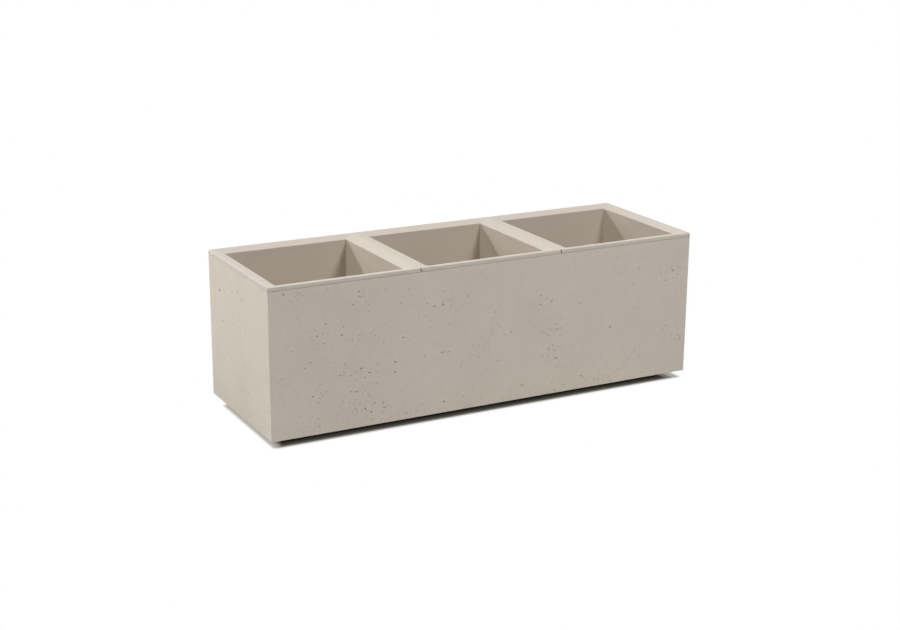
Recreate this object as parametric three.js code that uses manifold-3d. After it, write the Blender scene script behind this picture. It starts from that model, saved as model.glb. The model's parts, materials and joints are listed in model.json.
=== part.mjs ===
// Rectangular garden planter in three bays: a fibre-reinforced concrete shell on two runners,
// with one lift-out planting liner of folded sheet metal in each bay.
// Millimetres, +Z up, X along the row of bays, -Y at the front.
// The origin is on the ground below the centre of the shell.

import * as THREE from 'three';
import { mergeVertices } from 'three/addons/utils/BufferGeometryUtils.js';
import Module from 'manifold-3d';

const wasm = await Module();
wasm.setup();

// Overall size
const BAY_NAMES = ['left', 'middle', 'right'];
const BAY_PITCH = 400; // length of one bay along the row
const PLANTER_DEPTH = 400; // front face to back face
const PLANTER_HEIGHT = 400; // ground to the top edge of the liners

// Concrete shell
const WALL = 25; // each outer wall, and half of each wall between two bays
const SHELL_FLOOR = 28;
const SHELL_ARRIS = 1.6; // bevel along the cast edges
const SHELL_CORNER = 2.5; // radius of the upright edges
const POCKET_DRAFT = 0.5; // degrees that each pocket wall leans out, to leave the mould
const POCKET_CORNER = 12; // radius of a pocket's upright corners
const POCKET_FILLET = 8; // radius between a pocket's walls and its floor
const POCKET_ARRIS = 1.5;

// Folded liners
const SHEET = 1.5;
const BEND = 1; // inner radius of every bend
const LIP_HEIGHT = 10; // outer edge folded down over the shell's rim
const LIP_GAP = 0.6; // shadow line between the lip and the shell
const LIP_CORNER = 2.5;
const FLANGE_FALL = 6; // drop of the flange between its outer bend and the one at the opening
const SEAM_GAP = 0.4; // between the flat edges of neighbouring flanges
const NOTCH_WIDTH = 1; // the front and back lips stop this far short of a seam
const NOTCH_DEPTH = 3; // and are cut out this far into the rim there
const POCKET_CLEARANCE = 6; // liner wall to shell wall, at the rim
const LINER_CORNER = 3; // inner radius of a liner's upright corners
const DRAIN_HOLE = 14; // diameter
const DRAIN_SPREAD = 110; // from the middle drain hole to the outer ones, along X and along Y

// Rubber pieces on the liners
const LINER_FOOT_HEIGHT = 10;
const LINER_FOOT_RADIUS = 18;
const LINER_FOOT_INSET = 42; // from the liner's outer wall to the middle of a foot
const FOOT_CHAMFER = 2;
const SPACER_LENGTH = 90;
const SPACER_HEIGHT = 22;
const SPACER_DEPTH = 24; // from the shell's rim down to the middle of a spacer
const SPACER_CHAMFER = 1.5;
const RUNNING_GAP = 0.4; // spacer to shell wall
const BOND_GAP = 0.2; // glue line behind a spacer

// Drain sleeves cast into the shell's floor
const SLEEVE_BORE = 30;
const SLEEVE_WALL = 3;
const CAST_GAP = 0.3; // between a cast-in piece and the concrete

// Runners under the shell, set in from its faces so that it seems to float
const RUNNER_HEIGHT = 16;
const RUNNER_WIDTH = 40;
const RUNNER_INSET = 60;
const RUNNER_CHAMFER = 1.5;

// Screws that hold the runners, and the threaded sockets that take them
const SCREW_END_DISTANCE = 50; // from a runner's end to its screw
const SCREW_DIAMETER = 6;
const SCREW_HEAD = 12;
const SCREW_SINK = 1; // the head lies this far inside the runner
const SCREW_REACH = 14; // length of the screw inside the shell
const HEX_KEY = 4; // across the corners
const HEX_DEPTH = 2;
const HEX_SIDES = 6;
const SCREW_GAP = 0.4; // around the screw, in the runner and in the socket
const SOCKET_WALL = 2.6;
const SOCKET_END = 3; // closed end beyond the screw
const SOCKET_SPARE = 2; // empty bore beyond the screw

// Lifting sockets in the tops of the end walls
const LIFT_THREAD = 10;
const LIFT_WALL = 2.2;
const LIFT_DEPTH = 46;
const LIFT_SPREAD = 110; // from the middle of an end wall to a socket

// Smoothness of the round forms
const CORNER_STEPS = 4;
const BEND_STEPS = 3;
const FILLET_STEPS = 3;
const SMALL_SIDES = 12;
const LARGE_SIDES = 24;
const SHARP = 0.3; // radius that stands for a sharp corner
const OVERCUT = 1; // how far a cutting form runs past the face that it opens

// Levels and half sizes that follow from the sizes above
const halfPitch = BAY_PITCH / 2;
const halfDepth = PLANTER_DEPTH / 2;
const halfLength = halfPitch * BAY_NAMES.length;
const shellTop = PLANTER_HEIGHT - LIP_HEIGHT - LIP_GAP;
const pocketFloor = RUNNER_HEIGHT + SHELL_FLOOR;
const linerBase = pocketFloor + LINER_FOOT_HEIGHT;
const draftSlope = Math.tan(THREE.MathUtils.degToRad(POCKET_DRAFT));
const bayCentres = BAY_NAMES.map((name, bay) => (bay * 2 + 1) * halfPitch - halfLength);

const outerBend = BEND + SHEET;
const seamX = halfPitch - SEAM_GAP / 2; // a liner's flat edge, from the middle of its bay
const seamTrim = 2 * outerBend;
const wallFaceX = halfPitch - WALL - POCKET_CLEARANCE; // outer face of the liner's walls
const wallFaceY = halfDepth - WALL - POCKET_CLEARANCE;

const concrete = new THREE.MeshStandardMaterial({ color: 0xb3aa9d, roughness: 0.9, metalness: 0 });
const runnerConcrete = new THREE.MeshStandardMaterial({ color: 0xa79d90, roughness: 0.95, metalness: 0 });
const coatedSteel = new THREE.MeshStandardMaterial({ color: 0xc4baad, roughness: 0.55, metalness: 0 });
const rubber = new THREE.MeshStandardMaterial({ color: 0x2a2927, roughness: 0.85, metalness: 0 });
const greyPlastic = new THREE.MeshStandardMaterial({ color: 0x77787a, roughness: 0.5, metalness: 0 });
const zincSteel = new THREE.MeshStandardMaterial({ color: 0xb9bcc0, roughness: 0.35, metalness: 1 });

// One ring of a rounded rectangle, counter-clockwise from above. `reach` holds how far each side
// lies from the middle and `height` its level, in the order +X, +Y, -X, -Y. The corners join them.
function sidedRing(reach, radius, height) {
  const corners = [
    { signX: 1, signY: 1, sideX: 0, sideY: 1 },
    { signX: -1, signY: 1, sideX: 2, sideY: 1 },
    { signX: -1, signY: -1, sideX: 2, sideY: 3 },
    { signX: 1, signY: -1, sideX: 0, sideY: 3 },
  ];
  return corners.flatMap(({ signX, signY, sideX, sideY }, quarter) => (
    Array.from({ length: CORNER_STEPS + 1 }, (_, step) => {
      const angle = (quarter + step / CORNER_STEPS) * Math.PI / 2;
      const shareY = Math.sin(angle) ** 2;
      return [
        signX * (reach[sideX] - radius) + radius * Math.cos(angle),
        signY * (reach[sideY] - radius) + radius * Math.sin(angle),
        height[sideX] + (height[sideY] - height[sideX]) * shareY,
      ];
    })
  ));
}

// A level ring with opposite sides equally far from the middle.
function ring(halfX, halfY, radius, height) {
  return sidedRing([halfX, halfY, halfX, halfY], radius, [height, height, height, height]);
}

// A closed body through rings of equal point counts, with a flat cap on the first and the last.
function loft(rings) {
  const count = rings[0].length;
  const vertices = rings.flat();
  const index = [];
  for (let level = 0; level + 1 < rings.length; level += 1) {
    for (let i = 0; i < count; i += 1) {
      const next = (i + 1) % count;
      const low = level * count;
      const high = low + count;
      index.push(low + i, low + next, high + next);
      index.push(low + i, high + next, high + i);
    }
  }
  const first = vertices.length;
  const last = first + 1;
  const top = (rings.length - 1) * count;
  vertices.push([0, 0, rings[0][0][2]], [0, 0, rings.at(-1)[0][2]]);
  for (let i = 0; i < count; i += 1) {
    const next = (i + 1) % count;
    index.push(first, next, i);
    index.push(last, top + i, top + next);
  }
  const geometry = new THREE.BufferGeometry();
  geometry.setAttribute('position', new THREE.Float32BufferAttribute(vertices.flat(), 3));
  geometry.setIndex(index);
  return geometry;
}

// A turned body about Z from [radius, height] points that run up its outside.
function turned(profile, sides) {
  const points = profile.map(([radius, height]) => new THREE.Vector2(radius, height));
  const geometry = new THREE.LatheGeometry(points, sides);
  geometry.rotateX(Math.PI / 2);
  return geometry;
}

// A straight round bar about Z.
function rod(radius, bottom, top, sides) {
  return turned([[0, bottom], [radius, bottom], [radius, top], [0, top]], sides);
}

// A plain box between two opposite corners.
function block(low, high) {
  const size = high.map((value, axis) => value - low[axis]);
  const middle = high.map((value, axis) => (value + low[axis]) / 2);
  return new THREE.BoxGeometry(...size).translate(...middle);
}

// A box with level bevels along its lower and upper edges.
function bevelledBlock(halfX, halfY, bottom, top, bevel) {
  return loft([
    ring(halfX - bevel, halfY - bevel, SHARP, bottom),
    ring(halfX, halfY, bevel, bottom + bevel),
    ring(halfX, halfY, bevel, top - bevel),
    ring(halfX - bevel, halfY - bevel, SHARP, top),
  ]);
}

// A closed geometry as a solid that can be joined and cut.
function solid(geometry, move = [0, 0, 0]) {
  const plain = geometry.clone().translate(...move);
  plain.deleteAttribute('normal');
  plain.deleteAttribute('uv');
  const merged = mergeVertices(plain, 1e-4);
  const corners = merged.index.array;
  const kept = [];
  for (let i = 0; i < corners.length; i += 3) {
    const [a, b, c] = corners.slice(i, i + 3);
    if (a !== b && b !== c && c !== a) {
      kept.push(a, b, c);
    }
  }
  return new wasm.Manifold(new wasm.Mesh({
    numProp: 3,
    vertProperties: new Float32Array(merged.attributes.position.array),
    triVerts: new Uint32Array(kept),
  }));
}

function cut(body, tools) {
  return tools.reduce((rest, tool) => rest.subtract(tool), body);
}

function piece(name, body, material) {
  const { vertProperties, triVerts } = body.getMesh();
  const geometry = new THREE.BufferGeometry();
  geometry.setAttribute('position', new THREE.Float32BufferAttribute(vertProperties, 3));
  geometry.setIndex(Array.from(triVerts));
  geometry.computeVertexNormals();
  const mesh = new THREE.Mesh(geometry, material);
  mesh.name = name;
  return mesh;
}

// The points of an arc from one angle to another, in degrees, as [inset, height].
function arc([inset, height], radius, from, to, steps) {
  return Array.from({ length: steps + 1 }, (_, step) => {
    const angle = THREE.MathUtils.degToRad(from + (to - from) * step / steps);
    return [inset + radius * Math.cos(angle), height + radius * Math.sin(angle)];
  });
}

// Section of a liner on one side, from its underside up the outside, over the lip and the flange,
// and down the inside to its floor. Each point is [inset, height, radius]: the inset is measured
// inwards from the outer face of the lip, and the radius is that of the upright corners there.
// Where the flange will be trimmed at a seam, `trimmed` is the stretch of it that is cut away. It
// then lies tangent to the bend at the opening, and reaches its full height at the seam.
function linerSection(flange, trimmed = 0) {
  const lipBend = [outerBend, PLANTER_HEIGHT - outerBend];
  const wallBend = [flange - outerBend, lipBend[1] - FLANGE_FALL];
  let slope = Math.atan2(FLANGE_FALL, wallBend[0] - lipBend[0]);
  if (trimmed > 0) {
    const across = wallBend[0] - trimmed;
    const down = PLANTER_HEIGHT - wallBend[1];
    slope = Math.atan2(down, across) - Math.asin(outerBend / Math.hypot(across, down));
    lipBend[1] = wallBend[1] + (wallBend[0] - lipBend[0]) * Math.tan(slope);
  }
  const fall = THREE.MathUtils.radToDeg(slope);
  const floorBend = [flange + BEND, linerBase + outerBend];
  const lipBottom = shellTop + LIP_GAP;
  const alongWall = ([inset, height]) => [inset, height, LINER_CORNER + flange - inset];
  const alongLip = ([inset, height]) => [inset, height, Math.max(LIP_CORNER - inset, SHARP)];
  return [
    ...arc(floorBend, outerBend, 270, 180, BEND_STEPS).map(alongWall),
    ...arc(wallBend, BEND, 0, 90 - fall, BEND_STEPS).map(alongWall),
    ...arc(lipBend, BEND, 90 - fall, 180, BEND_STEPS).map(alongLip),
    ...[[SHEET, lipBottom], [0, lipBottom]].map(alongLip),
    ...arc(lipBend, outerBend, 180, 90 - fall, BEND_STEPS).map(alongLip),
    ...arc(wallBend, outerBend, 90 - fall, 0, BEND_STEPS).map(alongWall),
    ...arc(floorBend, BEND, 180, 270, BEND_STEPS).map(alongWall),
  ];
}

// A liner folded from one sheet: floor, upright walls, sloping flange and turned-down lip. Where
// it meets a neighbour its flange has no lip: it is drawn past the seam and trimmed there.
function makeLiner(meetsRight, meetsLeft) {
  const lipped = { reach: halfPitch, wall: wallFaceX, trimmed: 0 };
  const butted = { reach: seamX + seamTrim, wall: wallFaceX, trimmed: seamTrim };
  const long = { reach: halfDepth, wall: wallFaceY, trimmed: 0 };
  const sides = [meetsRight ? butted : lipped, long, meetsLeft ? butted : lipped, long];
  const sections = sides.map(({ reach, wall, trimmed }) => linerSection(reach - wall + SHEET, trimmed));
  const rings = sections[0].map(([, , radius], i) => sidedRing(
    sides.map(({ reach }, side) => reach - sections[side][i][0]),
    radius,
    sections.map((section) => section[i][1]),
  ));
  const tools = [[0, 0], [1, 1], [-1, 1], [-1, -1], [1, -1]].map(([signX, signY]) => solid(
    rod(DRAIN_HOLE / 2, linerBase - OVERCUT, linerBase + SHEET + OVERCUT, SMALL_SIDES),
    [signX * DRAIN_SPREAD, signY * DRAIN_SPREAD, 0],
  ));
  if (meetsRight) {
    tools.push(...seamCutters().map((cutter) => solid(cutter)));
  }
  if (meetsLeft) {
    tools.push(...seamCutters().map((cutter) => solid(cutter.rotateZ(Math.PI))));
  }
  return cut(solid(loft(rings)), tools);
}

// What is cut away at a seam on the +X side: all that lies past it, and a notch in each lip.
function seamCutters() {
  const past = seamX + seamTrim + OVERCUT;
  const bottom = shellTop - OVERCUT;
  const top = PLANTER_HEIGHT + seamTrim;
  const far = halfDepth + OVERCUT;
  const notchX = seamX - NOTCH_WIDTH;
  const notchY = halfDepth - NOTCH_DEPTH;
  return [
    block([seamX, -far, bottom], [past, far, top]),
    block([notchX, notchY, bottom], [past, far, top]),
    block([notchX, -far, bottom], [past, -notchY, top]),
  ];
}

// One of the four round rubber feet that carry a liner on the shell's floor.
function makeLinerFoot() {
  return solid(turned([
    [0, pocketFloor],
    [LINER_FOOT_RADIUS - FOOT_CHAMFER, pocketFloor],
    [LINER_FOOT_RADIUS, pocketFloor + FOOT_CHAMFER],
    [LINER_FOOT_RADIUS, linerBase],
    [0, linerBase],
  ], SMALL_SIDES));
}

// Rubber spacer on the outside of a liner's wall, that keeps the liner in the middle of its pocket.
// It faces -Y here, with the wall's outer face at y = 0.
function makeSpacer() {
  const half = SPACER_HEIGHT / 2;
  const reach = POCKET_CLEARANCE - draftSlope * (SPACER_DEPTH + half) - RUNNING_GAP;
  const strip = loft([
    ring(SPACER_LENGTH / 2, half, SHARP, BOND_GAP),
    ring(SPACER_LENGTH / 2, half, SHARP, reach - SPACER_CHAMFER),
    ring(SPACER_LENGTH / 2 - SPACER_CHAMFER, half - SPACER_CHAMFER, SHARP, reach),
  ]);
  return solid(strip.rotateX(Math.PI / 2));
}

// Plastic tube that lines a drain hole through the shell's floor, flush with both faces.
function makeDrainSleeve() {
  const inner = SLEEVE_BORE / 2;
  const outer = inner + SLEEVE_WALL;
  return solid(turned([
    [inner, RUNNER_HEIGHT],
    [outer, RUNNER_HEIGHT],
    [outer, pocketFloor],
    [inner + SLEEVE_WALL / 2, pocketFloor],
    [inner, pocketFloor - SLEEVE_WALL / 2],
    [inner, RUNNER_HEIGHT],
  ], LARGE_SIDES));
}

// Middle of each runner, and of its screws along Y.
const runnerReach = halfLength - RUNNER_INSET - RUNNER_WIDTH / 2;
const runnerX = { left: -runnerReach, right: runnerReach };
const runnerHalf = halfDepth - RUNNER_INSET;
const screwYs = {
  front: -runnerHalf + SCREW_END_DISTANCE,
  back: runnerHalf - SCREW_END_DISTANCE,
};
const screwRadius = SCREW_DIAMETER / 2;
const headRadius = SCREW_HEAD / 2;
const headHeight = headRadius - screwRadius;
const screwEnd = RUNNER_HEIGHT + SCREW_REACH;
const socketRadius = screwRadius + SCREW_GAP + SOCKET_WALL;
const socketBoreEnd = screwEnd + SOCKET_SPARE;
const socketEnd = socketBoreEnd + SOCKET_END;

// Cast bar under the shell, with a countersunk hole for each screw.
function makeRunner() {
  const bar = bevelledBlock(RUNNER_WIDTH / 2, runnerHalf, 0, RUNNER_HEIGHT, RUNNER_CHAMFER);
  const hole = turned([
    [0, -OVERCUT],
    [headRadius + SCREW_GAP, -OVERCUT],
    [headRadius + SCREW_GAP, SCREW_SINK],
    [screwRadius + SCREW_GAP, SCREW_SINK + headHeight],
    [screwRadius + SCREW_GAP, RUNNER_HEIGHT + OVERCUT],
    [0, RUNNER_HEIGHT + OVERCUT],
  ], SMALL_SIDES);
  return cut(solid(bar), Object.values(screwYs).map((y) => solid(hole, [0, y, 0])));
}

// Countersunk screw with a hexagon recess, head down.
function makeScrew() {
  const blank = turned([
    [0, SCREW_SINK],
    [headRadius, SCREW_SINK],
    [screwRadius, SCREW_SINK + headHeight],
    [screwRadius, screwEnd],
    [0, screwEnd],
  ], SMALL_SIDES);
  const recess = rod(HEX_KEY / 2, 0, SCREW_SINK + HEX_DEPTH, HEX_SIDES);
  return cut(solid(blank), [solid(recess)]);
}

// Blind threaded sleeve about Z, open at `mouth` and closed at `end`.
function blindSleeve(bore, outer, mouth, boreEnd, end, sides) {
  const start = mouth - Math.sign(end - mouth) * OVERCUT;
  const body = rod(outer, Math.min(mouth, end), Math.max(mouth, end), sides);
  const hole = rod(bore, Math.min(start, boreEnd), Math.max(start, boreEnd), sides);
  return cut(solid(body), [solid(hole)]);
}

// Threaded socket cast into the shell above a runner, for one screw.
function makeScrewSocket() {
  const bore = screwRadius + SCREW_GAP;
  return blindSleeve(bore, socketRadius, RUNNER_HEIGHT, socketBoreEnd, socketEnd, SMALL_SIDES);
}

// Threaded socket in the top of an end wall, for one of the eye bolts that lift the shell.
const liftRadius = LIFT_THREAD / 2 + LIFT_WALL;
const liftEnd = shellTop - LIFT_DEPTH - LIFT_WALL;
const liftXs = { left: WALL / 2 - halfLength, right: halfLength - WALL / 2 };
const liftYs = { front: -LIFT_SPREAD, back: LIFT_SPREAD };

function makeLiftingSocket() {
  const bore = LIFT_THREAD / 2;
  return blindSleeve(bore, liftRadius, shellTop, shellTop - LIFT_DEPTH, liftEnd, SMALL_SIDES);
}

// Space for one liner, with leaning walls, a rounded floor edge and a bevelled rim.
function makePocket() {
  const halfX = halfPitch - WALL;
  const halfY = halfDepth - WALL;
  const lean = (height) => draftSlope * (shellTop - height);
  const bevelReach = POCKET_ARRIS + OVERCUT;
  const floorRings = arc([POCKET_FILLET, pocketFloor + POCKET_FILLET], POCKET_FILLET, 270, 180, FILLET_STEPS)
    .map(([inset, height]) => ring(
      halfX - inset - lean(height),
      halfY - inset - lean(height),
      Math.max(POCKET_CORNER - inset, SHARP),
      height,
    ));
  return loft([
    ...floorRings,
    ring(halfX, halfY, POCKET_CORNER, shellTop - POCKET_ARRIS),
    ring(halfX + bevelReach, halfY + bevelReach, POCKET_CORNER, shellTop + OVERCUT),
  ]);
}

// The concrete casting: outer block less its pockets and the seats of all that is cast into it.
function makeShell() {
  const rings = [
    [SHELL_ARRIS, RUNNER_HEIGHT],
    [0, RUNNER_HEIGHT + SHELL_ARRIS],
    [0, shellTop - SHELL_ARRIS],
    [SHELL_ARRIS, shellTop],
  ].map(([inset, height]) => ring(halfLength - inset, halfDepth - inset, SHELL_CORNER - inset, height));
  const pocket = makePocket();
  const sleeveRadius = SLEEVE_BORE / 2 + SLEEVE_WALL + CAST_GAP;
  const sleeveSeat = rod(sleeveRadius, 0, pocketFloor + OVERCUT, LARGE_SIDES);
  const screwSeat = rod(socketRadius + CAST_GAP, 0, socketEnd + CAST_GAP, SMALL_SIDES);
  const liftSeat = rod(liftRadius + CAST_GAP, liftEnd - CAST_GAP, shellTop + OVERCUT, SMALL_SIDES);
  const tools = [];
  for (const x of bayCentres) {
    tools.push(solid(pocket, [x, 0, 0]), solid(sleeveSeat, [x, 0, 0]));
  }
  for (const x of Object.values(runnerX)) {
    tools.push(...Object.values(screwYs).map((y) => solid(screwSeat, [x, y, 0])));
  }
  for (const x of Object.values(liftXs)) {
    tools.push(...Object.values(liftYs).map((y) => solid(liftSeat, [x, y, 0])));
  }
  return cut(solid(loft(rings)), tools);
}

// Adds a copy of a piece to a group at a place, turned about Z by a number of quarter turns.
function place(group, name, body, material, position = [0, 0, 0], quarters = 0) {
  const mesh = piece(name, body, material);
  mesh.position.set(...position);
  mesh.rotation.z = quarters * Math.PI / 2;
  group.add(mesh);
}

const planter = new THREE.Group();
place(planter, 'shell', makeShell(), concrete);

const linerFoot = makeLinerFoot();
const spacer = makeSpacer();
const sleeve = makeDrainSleeve();
const footX = wallFaceX - LINER_FOOT_INSET;
const footY = wallFaceY - LINER_FOOT_INSET;
const spacerZ = shellTop - SPACER_DEPTH;
const footPlaces = {
  front_left: [-footX, -footY, 0],
  front_right: [footX, -footY, 0],
  back_left: [-footX, footY, 0],
  back_right: [footX, footY, 0],
};
const spacerPlaces = {
  front: [[0, -wallFaceY, spacerZ], 0],
  right: [[wallFaceX, 0, spacerZ], 1],
  back: [[0, wallFaceY, spacerZ], 2],
  left: [[-wallFaceX, 0, spacerZ], 3],
};

BAY_NAMES.forEach((bayName, bay) => {
  const group = new THREE.Group();
  group.position.x = bayCentres[bay];
  const meetsRight = bay + 1 < BAY_NAMES.length;
  const meetsLeft = bay > 0;
  place(group, `liner_${bayName}`, makeLiner(meetsRight, meetsLeft), coatedSteel);
  for (const [name, position] of Object.entries(footPlaces)) {
    place(group, `liner_${bayName}_foot_${name}`, linerFoot, rubber, position);
  }
  for (const [name, [position, quarters]] of Object.entries(spacerPlaces)) {
    place(group, `liner_${bayName}_spacer_${name}`, spacer, rubber, position, quarters);
  }
  place(group, `drain_sleeve_${bayName}`, sleeve, greyPlastic);
  planter.add(group);
});

const runner = makeRunner();
const screw = makeScrew();
const screwSocket = makeScrewSocket();
for (const [side, x] of Object.entries(runnerX)) {
  const group = new THREE.Group();
  group.position.x = x;
  place(group, `runner_${side}`, runner, runnerConcrete);
  for (const [end, y] of Object.entries(screwYs)) {
    place(group, `runner_screw_${side}_${end}`, screw, zincSteel, [0, y, 0]);
    place(group, `screw_socket_${side}_${end}`, screwSocket, zincSteel, [0, y, 0]);
  }
  planter.add(group);
}

const liftingSocket = makeLiftingSocket();
for (const [side, x] of Object.entries(liftXs)) {
  for (const [end, y] of Object.entries(liftYs)) {
    place(planter, `lifting_socket_${side}_${end}`, liftingSocket, zincSteel, [x, y, 0]);
  }
}

export default planter;
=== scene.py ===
import json
import math
import random

import bmesh
import bpy
from mathutils import Euler, Matrix, Vector
from mathutils.geometry import delaunay_2d_cdt

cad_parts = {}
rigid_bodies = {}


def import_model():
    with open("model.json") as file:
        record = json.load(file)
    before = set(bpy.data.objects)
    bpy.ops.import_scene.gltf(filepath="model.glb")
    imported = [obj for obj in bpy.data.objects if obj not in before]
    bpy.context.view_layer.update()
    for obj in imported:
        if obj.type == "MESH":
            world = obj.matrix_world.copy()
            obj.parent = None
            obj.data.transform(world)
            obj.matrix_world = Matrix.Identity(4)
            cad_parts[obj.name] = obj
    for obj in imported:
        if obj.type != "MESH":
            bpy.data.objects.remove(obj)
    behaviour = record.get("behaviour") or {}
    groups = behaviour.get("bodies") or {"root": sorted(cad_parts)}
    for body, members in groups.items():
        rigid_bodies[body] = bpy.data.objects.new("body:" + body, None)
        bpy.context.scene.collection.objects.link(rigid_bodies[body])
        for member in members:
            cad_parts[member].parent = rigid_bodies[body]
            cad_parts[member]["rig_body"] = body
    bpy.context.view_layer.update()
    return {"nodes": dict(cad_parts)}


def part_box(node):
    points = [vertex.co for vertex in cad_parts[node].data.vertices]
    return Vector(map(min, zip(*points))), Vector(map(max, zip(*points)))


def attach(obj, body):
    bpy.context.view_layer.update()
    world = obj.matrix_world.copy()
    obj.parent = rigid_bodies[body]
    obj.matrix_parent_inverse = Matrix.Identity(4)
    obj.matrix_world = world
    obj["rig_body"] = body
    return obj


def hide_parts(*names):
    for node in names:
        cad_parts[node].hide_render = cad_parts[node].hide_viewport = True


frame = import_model()

MM = 0.001  # sizes below are in millimetres, and the scene is in metres

# The planter. The pieces take their sizes from these, and the fittings their places from the boxes of
# the CAD nodes.
BAY_PITCH = 400
BAY_CENTRES = {"left": -BAY_PITCH, "middle": 0, "right": BAY_PITCH}
HALF_LENGTH = len(BAY_CENTRES) * BAY_PITCH / 2
HALF_DEPTH = 200
HEIGHT = 400
RUNNER_HEIGHT = 16
LIP_BOTTOM = HEIGHT - 10
OVERCUT = 1  # how far a cutter runs past the face that it opens
SHARP = 0.3  # radius that stands for a sharp corner
MERGE = 1e-4  # points closer than this become one
CREASE = 30  # degrees from which an edge is shaded as sharp

# The concrete shell
WALL = 25
SHELL_BOTTOM = RUNNER_HEIGHT
SHELL_TOP = LIP_BOTTOM - 0.6
SHELL_CORNER = 2.5
SHELL_EASE = 1.6
SHELL_ARRIS = ((SHELL_EASE, 0), (0.5, 0.5), (0, SHELL_EASE))  # (inset, distance from the end)
POCKET_FLOOR = SHELL_BOTTOM + 28
POCKET_DRAFT = 0.5  # degrees
POCKET_CORNER = 12
POCKET_FILLET = 8
POCKET_RIM = ((0, 1.5), (0.45, 0.45), (1.5, 0))  # eased rim: (how much wider, distance from the top)
CAST_GAP = 0.3  # between a cast-in piece and the concrete
SEAT_OVERCUT = 5
SEAT_SIDES = 64
SHELL_MERGE = 1e-3
SHELL_CREASE = 35
ON_FACE = 0.01  # how close to an outer plane a point lies that belongs to that face

# The folded liners
SHEET = 1.5
BEND = 1
OUTER_BEND = BEND + SHEET
LIP_CORNER = 2.5
FLANGE_FALL = 6
LINER_BASE = POCKET_FLOOR + 10
LINER_CORNER = 3
WALL_REACH = BAY_PITCH / 2 - WALL - 6  # outer face of a liner's walls, from the middle of its bay
SEAM_X = BAY_PITCH / 2 - 0.2  # flat edge of a flange that meets its neighbour
SEAM_TRIM = 2 * OUTER_BEND
NOTCH_X = SEAM_X - 1
NOTCH_Y = HALF_DEPTH - 3
DRAIN_RADIUS = 7
DRAIN_SPREAD = 110
DRAIN_SIDES = 32
BEND_STEPS = 8
CORNER_STEPS = 10

# The rubber pieces
FOOT_RADIUS = 18
FOOT_SOLE = ((2, 0), (1, 0.3), (0.3, 1), (0, 2))  # round edge: (inset, height over the sole)
FOOT_TOP_BEVEL = 0.4
FOOT_SIDES = 48
FOOT_GROOVES = ((5, 8.6), (12, 14.6))  # (inner, outer radius)
GROOVE_LEAN = 0.6
GROOVE_DEPTH = 0.9
STRIP_DEPTH = 2.2
RIB_ROOT = 2.4
RIB_ROOT_HALF = 1.9
RIB_TIP = ((0.9, 1.3), (0.3, 1), (0, 0.5))  # (distance behind the tip, half height)
RIB_PLACES = (-8.2, -2.75, 2.75, 8.2)  # above the middle of the strip
STRIP_END = 1.2
STRIP_END_SHARE = 0.75  # depth of the strip's ends, as a share of its depth

# The fittings that are cast or screwed in
SLEEVE_RADIUS = 18
SLEEVE_BORE = 15
SLEEVE_CHAMFER = 1.4
SLEEVE_EDGE = 0.4
SLEEVE_SIDES = 64
SCREW_RADIUS = 3
SCREW_ROOT = 2.4
SCREW_PITCH = 1
SCREW_HEAD = 6
SCREW_SUNK = 1  # from the runner's sole to the head
SCREW_CONE = 4.1  # height at which the cone under the head ends
SCREW_THREAD = 5.5  # height at which the thread starts
SCREW_TIP = 30
SCREW_SPREAD = 90  # from the middle of a runner to its screws
SCREW_SIDES = 24
KEY_CORNER = 2  # from the middle of the hexagon recess to its corners
KEY_FLOOR = 3
KEY_POINT = 1.6  # radius of the drill's point in the recess
SCREW_SOCKET_RADIUS = 6
SCREW_SOCKET_ROOT = 2.7
SCREW_SOCKET_THREAD = 0.6
SCREW_SOCKET_END = 32
SCREW_SOCKET_TOP = 35
EYE_SOCKET_RADIUS = 7.2
EYE_SOCKET_ROOT = 4.25
EYE_SOCKET_THREAD = 0.8
EYE_SOCKET_PITCH = 1.5
EYE_SOCKET_DEPTH = 46
EYE_SOCKET_MOUTH = 5.9
EYE_SOCKET_SIDES = 32
THREAD_STEPS = 8  # outline points in a turn of a thread
THREAD_FLANK = 1.15  # slope of a thread's flanks, so that its root has some width
# Edge of a runner's sole and top: (inset, distance from the end, radius of the upright corners)
RUNNER_EDGE = ((1.5, 0, 0.6), (0.45, 0.45, 1.8), (0, 1.5, 2))
SCREW_HOLE = 3.4
SCREW_HOLE_MOUTH = 6.4
SCREW_HOLE_SIDES = 48


# Nodes and colours

def linear(colour):
    """Linear red, green, blue and alpha of an sRGB hex colour."""
    channels = [int(colour[i:i + 2], 16) / 255 for i in (1, 3, 5)]
    return [c / 12.92 if c <= 0.04045 else ((c + 0.055) / 1.055) ** 2.4 for c in channels] + [1]


def add(tree, kind, inputs, **settings):
    """Adds a node. Each of its inputs takes a value, or the output of another node."""
    node = tree.nodes.new(kind)
    for name, value in settings.items():
        setattr(node, name, value)
    for key, value in inputs.items():
        if isinstance(value, bpy.types.NodeSocket):
            tree.links.new(value, node.inputs[key])
        else:
            node.inputs[key].default_value = value
    return node


def new_material(name):
    """An empty material, its node tree, and the place on the object, in metres."""
    material = bpy.data.materials.new(name)
    material.use_nodes = True
    tree = material.node_tree
    tree.nodes.clear()
    return material, tree, add(tree, "ShaderNodeTexCoord", {}).outputs["Object"]


# Sizes of the patterns in the finishes, in millimetres
RELEASE_CLOUD = 130
MOTTLE = 14
DRAWN_SAND = 2  # the sand is 0.5 mm, and is drawn coarser so that it shows
PINHOLE_STEP = 8
CONCRETE_RELIEF = 0.4
ORANGE_PEEL = 3
FILM_CLOUD = 90
PEEL_RELIEF = 0.04
BATH_CLOUD = 4
# How much of the concrete's colour follows each pattern
CLOUD_SHARE = 0.9
MOTTLE_SHARE = 0.5
SAND_SHARE = 0.5
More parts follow.
